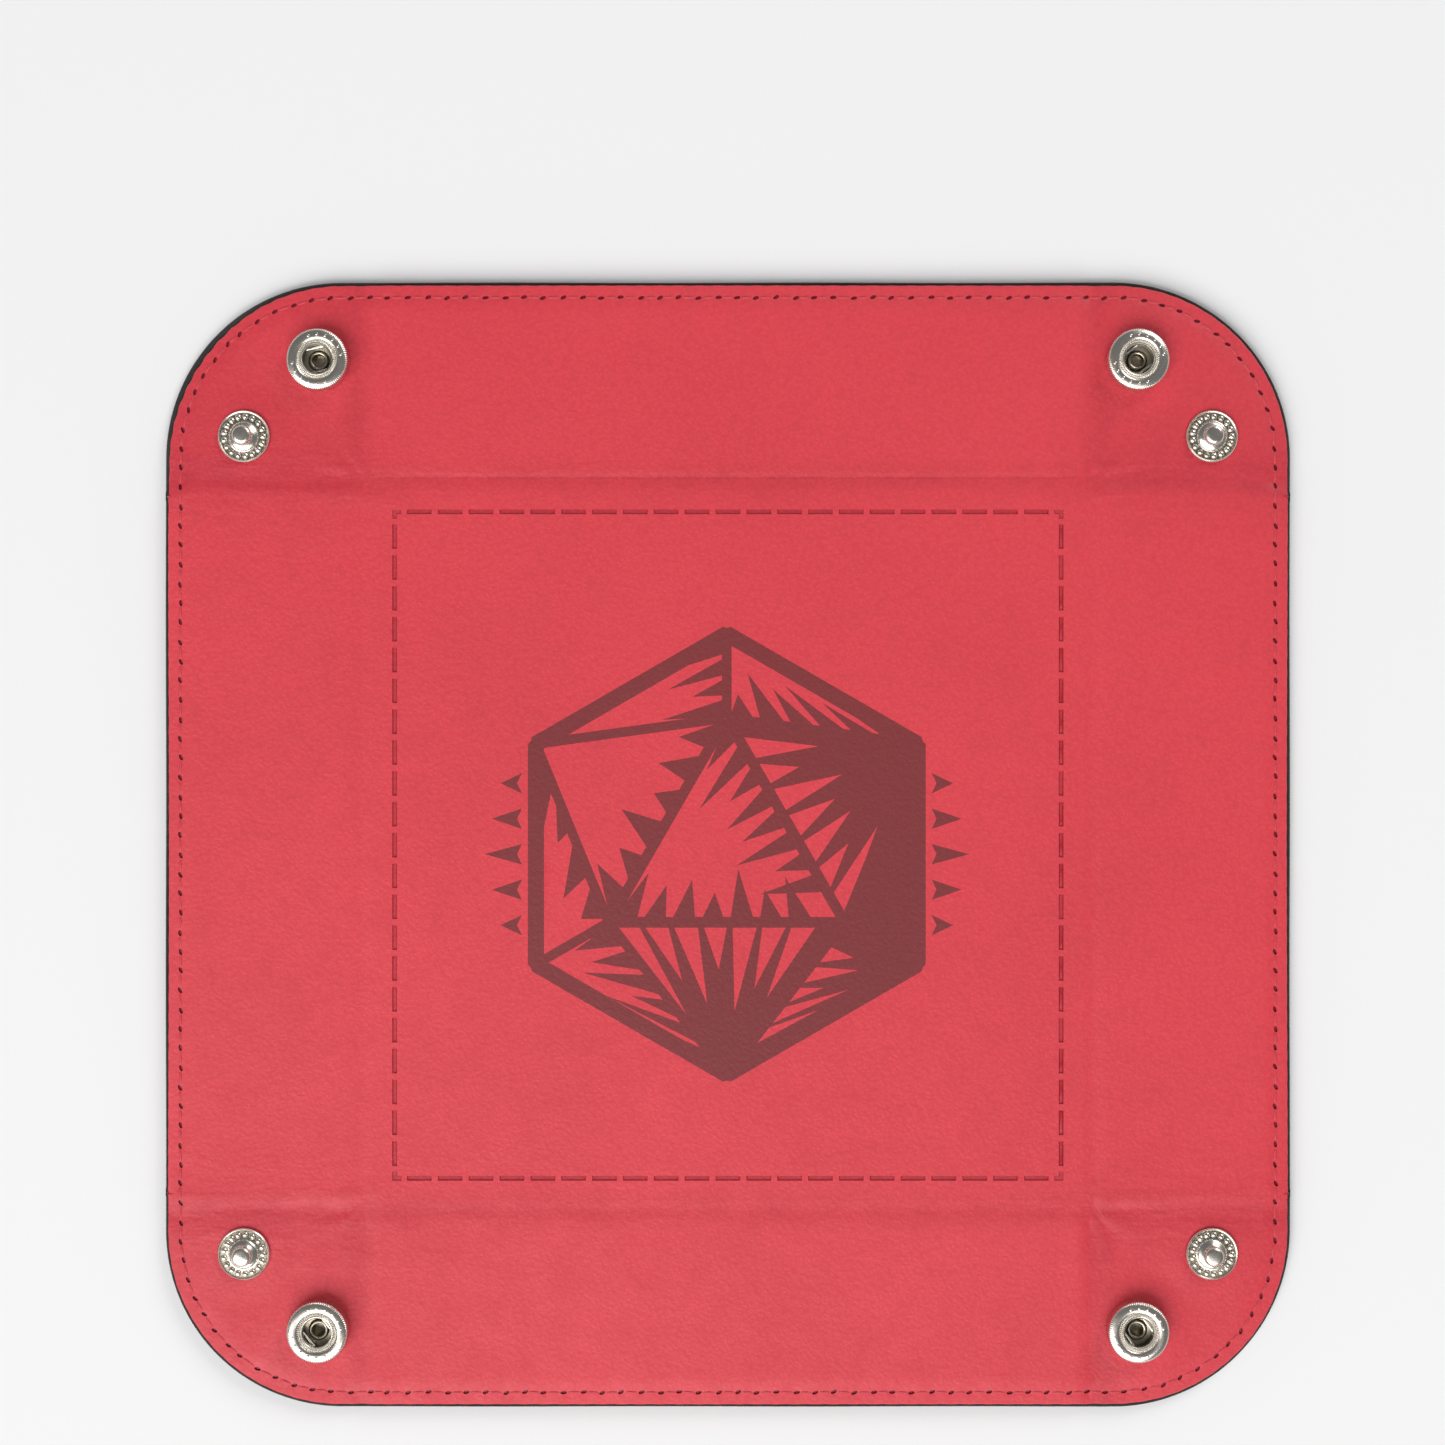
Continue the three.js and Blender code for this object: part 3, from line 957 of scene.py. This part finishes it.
def make_sheets():
    """Both sheets and the thread, piece by piece. A piece that spans a joint gets close rows of points
    along it; the base's pieces are attached to the base.
    """
    for label, outline, sx, sy, bend, rests_on in sheet_plans():
        top = place_outline(outline, sx, sy, leather_margin, 0.0)
        under = place_outline(outline, sx, sy, velvet_margin, VELVET_OFF_CREASE)
        across = bend and bend[2:]
        through = [ring_of(c, POST_HOLE) for c in SOCKET_CENTRES + STUD_CENTRES if inside(c, top)]
        features, step = stitch_holes(top), 1.5
        if label == "base":
            features, step = features + dashed_square() + printed_die(), 2.6
        made = []
        for kind, slot, node, plan, sides, looks, details, spacing in (
                ("leather", "red_leather", "leather", top, leather_sides, LEATHER_LOOKS, features, step),
                ("velvet", "black_velvet", "backing", under, velvet_sides, [VELVET], (), 1.8)):
            piece = sheet_piece(f"{kind}_{label}", plan, sides, looks, details, spacing, through, across)
            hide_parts(f"{label}_{node}")
            declare_sheet(plan)
            made.append(piece)
        if label != "base":
            thread = thread_piece(f"thread_{label}", top)
            made.append(thread)
        for piece in made:
            if bend:
                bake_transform(piece)
            else:
                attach(piece, "base")


def make_tips():
    """The base's own corners run on a little under the corner pieces, gathered in at the point
    where the four creases of a corner meet. They lie inside the sheets at rest, and close the
    opening at the foot of the pinch when the tray is folded."""
    plan = [(62.9, 66.9), (66.9, 66.9), (66.9, 65.0), (68.4, 65.0), (69.9, 65.9), (71.2, 68.4),
            (70.0, 70.0), (68.4, 71.2), (65.9, 69.9), (64.7, 68.8), (62.9, 68.8)]
    for name, sx, sy in CORNERS:
        corners = [(sx * x, sy * y) for x, y in plan]
        outline = anticlockwise(seams(*corners, corners[0]))
        for kind, sides, top_material, slot in (("leather", tip_leather_sides, LEATHER, "red_leather"),
                                                ("velvet", tip_velvet_sides, VELVET, "black_velvet")):
            # The leather tip's edges take the black velvet, as painted shade in the gap at the foot of the
            # pinch
            materials = [top_material, VELVET]
            piece = sheet_piece(f"{kind}_tip_{name}", outline, sides, materials, step=0.8, edge_slot=1)
            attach(piece, "base")


make_sheets()
make_tips()


# --- Snap fasteners ---

def turned(profile, segments, shape=None):
    """Points and faces of a body of revolution about Z. The profile's points are (radius, height),
    anticlockwise, and it ends on the axis or closes on itself. shape may move a point:
    (radius, height, turn, index) to (radius, height)."""
    closed = profile[0] == profile[-1]
    rows = profile[:-1] if closed else profile
    points, rings = [], []
    for index, (radius, height) in enumerate(rows):
        if radius == 0:
            rings.append([len(points)] * segments)
            points.append((0.0, 0.0, height))
            continue
        ring = []
        for k in range(segments):
            angle = 2 * pi * k / segments
            r, z = shape(radius, height, angle, index) if shape else (radius, height)
            ring.append(len(points))
            points.append((*on_circle((0, 0), r, angle), z))
        rings.append(ring)
    faces = []
    for a, b in zip(rings, rings[1:] + (rings[:1] if closed else [])):
        for k in range(segments):
            j = (k + 1) % segments
            face = [a[k], a[j], b[j], b[k]]
            faces.append([v for n, v in enumerate(face) if v != face[n - 1]])
    return points, faces


def dome(centre, radius, height, steps, around):
    """A low round bead standing on the surface at centre, open underneath."""
    x, y, z = centre
    points, faces = [(x, y, z + height)], []
    for i in range(1, steps + 1):
        lean = pi / 2 * i / steps
        for k in range(around):
            spot = on_circle((x, y), radius * sin(lean), 2 * pi * k / around)
            points.append((*spot, z + height * cos(lean)))
    for k in range(around):
        j = (k + 1) % around
        faces.append([0, 1 + k, 1 + j])
        for i in range(steps - 1):
            low, high = 1 + i * around, 1 + (i + 1) * around
            faces.append([low + k, high + k, high + j, low + j])
    faces.append([1 + (steps - 1) * around + k for k in reversed(range(around))])
    return points, faces


def joined(parts):
    points, faces = [], []
    for more_points, more_faces in parts:
        first = len(points)
        points += more_points
        faces += [[i + first for i in face] for face in more_faces]
    return points, faces


def arc_points(centre, radius, start, end, count):
    """Points of a profile's round corner, from start to end in degrees."""
    turns = [start + (end - start) * i / count for i in range(count + 1)]
    return [on_circle(centre, radius, radians(turn)) for turn in turns]


def socket_shape():
    """A socket: knurled rim, domed face with a row of dots, and a beaded ring round the opening."""
    low, high = TOP + 0.05, TOP + 3.4
    profile = [(1.75, low), (5.2, low)]
    profile += arc_points((5.35, low + 0.35), 0.35, -90, 0, 4)
    profile += [(5.7, low + 0.6)]
    knurl_from = len(profile)
    profile += [(5.74, low + 0.8), (5.74, low + 1.4), (5.74, high - 1.1)]
    profile += arc_points((5.3, high - 0.8), 0.44, 10, 70, 4)
    knurl_to = len(profile)
    profile += [(5.3, high - 0.33), (5.1, high - 0.26), (4.8, high - 0.17), (4.5, high - 0.12)]
    profile += [(4.2, high - 0.12), (3.95, high - 0.16), (3.75, high - 0.25), (3.66, high - 0.32)]
    beads_from = len(profile)
    profile += [(3.56, high - 0.2), (3.42, high - 0.04), (3.28, high), (3.16, high - 0.08)]
    beads_to = len(profile)
    profile += [(3.08, high - 0.2), (2.98, high - 0.13), (2.84, high - 0.14), (2.7, high - 0.26)]
    profile += [(2.62, high - 0.45), (2.6, high - 0.8), (2.6, TOP + 2.2), (2.75, TOP + 2.1)]
    profile += [(4.6, TOP + 2.1), (4.6, TOP + 0.35), (1.95, TOP + 0.3), (1.75, TOP + 0.22), (1.75, low)]

    def knurled(radius, height, angle, index):
        if knurl_from <= index < knurl_to:
            return radius - 0.15 * (0.5 - 0.5 * cos(90 * angle)), height
        if beads_from <= index < beads_to:
            return radius, height - 0.2 * (0.5 - 0.5 * cos(60 * angle))
        return radius, height

    parts = [turned(profile, 540, knurled)]
    dots = 18
    for k in range(dots):
        angle = 2 * pi * (k + 0.5) / dots
        if k % 9 < 6:
            parts.append(dome((*on_circle((0, 0), 4.55, angle), high - 0.17), 0.28, 0.14, 3, 16))
    return joined(parts)


def stud_shape():
    """A stud: a flange with a thin raised rim, a ring of beads, and a waisted post."""
    low, flange = TOP + 0.05, TOP + 0.55
    high = TOP + 3.3
    profile = [(1.6, low), (4.6, low)]
    profile += arc_points((4.58, low + 0.27), 0.27, -90, 60, 5)
    profile += [(4.6, low + 0.6), (4.44, flange + 0.04), (4.3, flange - 0.08), (3.0, flange - 0.1)]
    profile += [(2.78, flange - 0.02), (2.66, flange + 0.16), (2.4, flange + 0.3), (2.0, flange + 0.44)]
    profile += [(1.68, flange + 0.75), (1.6, flange + 1.2), (1.66, flange + 1.5), (1.84, flange + 1.85)]
    profile += [(1.86, flange + 2.1), (1.76, flange + 2.4), (1.5, flange + 2.62), (1.25, high - 0.05)]
    profile += [(1.05, high), (0, high), (0, high - 0.5), (1.4, high - 0.8), (1.5, TOP + 2.2)]
    profile += [(1.6, TOP + 1.2), (1.6, low)]
    parts = [turned(profile, 96)]
    beads = 17
    for k in range(beads):
        place = on_circle((0, 0), 3.66, 2 * pi * k / beads)
        parts.append(dome((*place, flange - 0.12), 0.62, 0.48, 5, 20))
    return joined(parts)


def cap_shape():
    """A cap: a smooth dome under the tray, and a hollow post rolled over the socket's floor."""
    rim_height, roll = 1.55, TOP + 0.8
    profile = [(0, 0.0), (1.5, 0.01), (2.8, 0.07), (4.0, 0.22), (5.0, 0.48), (5.8, 0.84)]
    profile += arc_points((5.95, 1.1), 0.3, -40, 90, 5)
    profile += [(5.6, rim_height - 0.12), (1.75, rim_height - 0.12), (1.6, rim_height), (1.6, TOP + 0.32)]
    profile += arc_points((1.5, roll - 0.4), 0.4, -50, 130, 8)
    profile += [(1.12, roll - 0.35), (1.1, 2.0), (1.0, 1.3), (0, 1.2)]
    return turned(profile, 96)


def eyelet_shape():
    """The eyelet behind a stud: a rolled ring under the tray, and its tube up into the stud."""
    profile = [(1.0, 1.3), (1.1, 1.0), (1.5, 0.86), (2.4, 0.82), (3.6, 0.86), (4.4, 0.98)]
    profile += arc_points((4.62, 1.25), 0.26, -60, 90, 5)
    profile += [(4.2, 1.45), (1.65, 1.45), (1.5, 1.6), (1.5, TOP + 1.9), (1.25, TOP + 2.0)]
    profile += [(1.0, TOP + 1.9), (1.0, 1.3)]
    return turned(profile, 72)


def spring_shape(angle):
    """The hairpin spring inside a socket, turned to the angle it was set at."""
    offset, reach, wire, sides = 2.2, 3.5, 0.26, 12
    bow, half_turn = hypot(reach, offset), math.atan2(offset, reach)
    route = [(x, -offset) for x in np.linspace(-reach, reach - 0.5, 12)]
    route += [on_circle((0, 0), bow, a) for a in np.linspace(-half_turn, half_turn, 14)]
    route += [(x, offset) for x in np.linspace(reach - 0.5, -reach, 12)]
    route = [Vector(p) for p in route]
    height = TOP + 1.95
    points = []
    for i, place in enumerate(route):
        ahead = (route[min(i + 1, len(route) - 1)] - route[max(i - 1, 0)]).normalized()
        side = left_of(ahead)
        for k in range(sides):
            turn = 2 * pi * k / sides
            spot = place + side * wire * cos(turn)
            c, s = cos(angle), sin(angle)
            points.append((c * spot.x - s * spot.y, s * spot.x + c * spot.y, height + wire * sin(turn)))
    return points, tube_faces(0, len(route), sides)


# Plain nickel, and the nickel darkened with painted shade
NICKEL_AND_SHADE = [NICKEL, NICKEL_IN_SHADE]


def add_snap(kind, corner, shape, shade_ring=(0, 0, 0, 0), materials=NICKEL_AND_SHADE):
    """A snap piece in its corner, standing for its CAD node. Faces within the ring given as its fourth
    argument, two radii and two heights, take the second material: nickel darkened with painted shade."""
    half = "stud" if kind in ("stud", "eyelet") else "socket"
    cx, cy = centre_of(f"snap_{half}_{corner}")
    points, faces = shape
    near, far, low, high = shade_ring
    in_shade = [near <= hypot(x, y) < far and low < z < high for x, y, z in points]
    slots = [int(all(in_shade[i] for i in face)) for face in faces]
    placed = [(x + cx, y + cy, z) for x, y, z in points]
    piece = build_mesh(f"{kind}_{corner}", placed, faces, materials, slots)
    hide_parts(f"snap_{kind}_{corner}")
    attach(piece, f"corner_{corner}_{half}_half")


SPRING_TURNS = {"back_right": 34, "back_left": 12, "front_left": -50, "front_right": -53}
# The rings pick the faces that take the painted shade: inside the socket, inside the cap's post, and the
# stud's floor between its beads
for corner, degrees in SPRING_TURNS.items():
    add_snap("socket", corner, socket_shape(), (0, 4.7, 1, TOP + 2.25))
    add_snap("cap", corner, cap_shape(), (0, 2.0, 1, TOP + 2))
    add_snap("spring", corner, spring_shape(radians(degrees)), materials=[SPRING_STEEL])
    add_snap("stud", corner, stud_shape(), (2.9, 4.5, 1, TOP + 0.62))
    add_snap("eyelet", corner, eyelet_shape(), materials=[NICKEL])


# --- The boards, which lie hidden between the sheets ---

for node in ["base_board"] + [f"wall_{side}_board" for side in ("back", "front", "right", "left")]:
    board = frame["nodes"][node]
    board.data.materials.clear()
    board.data.materials.append(BOARD)


# --- Stage: floor, light and camera ---

def make_floor():
    half, below = 1.7, 0.0001
    mesh = bpy.data.meshes.new("floor")
    corners = [(-half, -half, 0), (half, -half, 0), (half, half, 0), (-half, half, 0)]
    mesh.from_pydata(corners, [], [(0, 1, 2, 3)])
    nodes = Nodes("floor")
    nodes.surface(Base_Color=(0.86, 0.855, 0.85, 1), Roughness=0.9)
    mesh.materials.append(nodes.owner)
    floor = add_object("floor", mesh)
    floor.location.z = -below


def add_softbox(name, place, size, power):
    light = bpy.data.lights.new(name, "AREA")
    light.shape = "RECTANGLE"
    light.size, light.size_y = size
    light.energy = power
    lamp = add_object(name, light)
    lamp.location = place
    lamp.rotation_euler = (-Vector(place)).to_track_quat("-Z", "Y").to_euler()


def make_light():
    """A large softbox in front and to the left, a weak one behind, and surroundings that are pale
    at the horizon and dim above."""
    nodes = Nodes("studio", bpy.data.worlds, "Background")
    upward = nodes.add("SeparateXYZ", Vector=nodes.add("TexCoord").outputs["Generated"]).outputs["Z"]
    nodes.surface(Strength=nodes.fit(upward, 0.1, 0.4, 0.9, 0.17), Color=(0.95, 0.97, 1.0, 1))
    bpy.context.scene.world = nodes.owner
    add_softbox("key", (-0.8, -1.9, 2.2), (3.6, 2.4), 110.0)
    add_softbox("fill", (1.5, 1.9, 1.5), (1.2, 1.2), 28.0)


def make_camera():
    """Straight above, a little behind the tray's middle, as the tray was photographed."""
    lens, sensor, view_width = 60.0, 36.0, 268.8
    data = bpy.data.cameras.new("camera")
    data.lens, data.sensor_width = lens, sensor
    camera = add_object("camera", data)
    camera.location = at(-1.0, 22.8, TOP + view_width * lens / sensor)
    bpy.context.scene.camera = camera


make_floor()
make_light()
make_camera()
bpy.context.scene.view_settings.view_transform = "Standard"
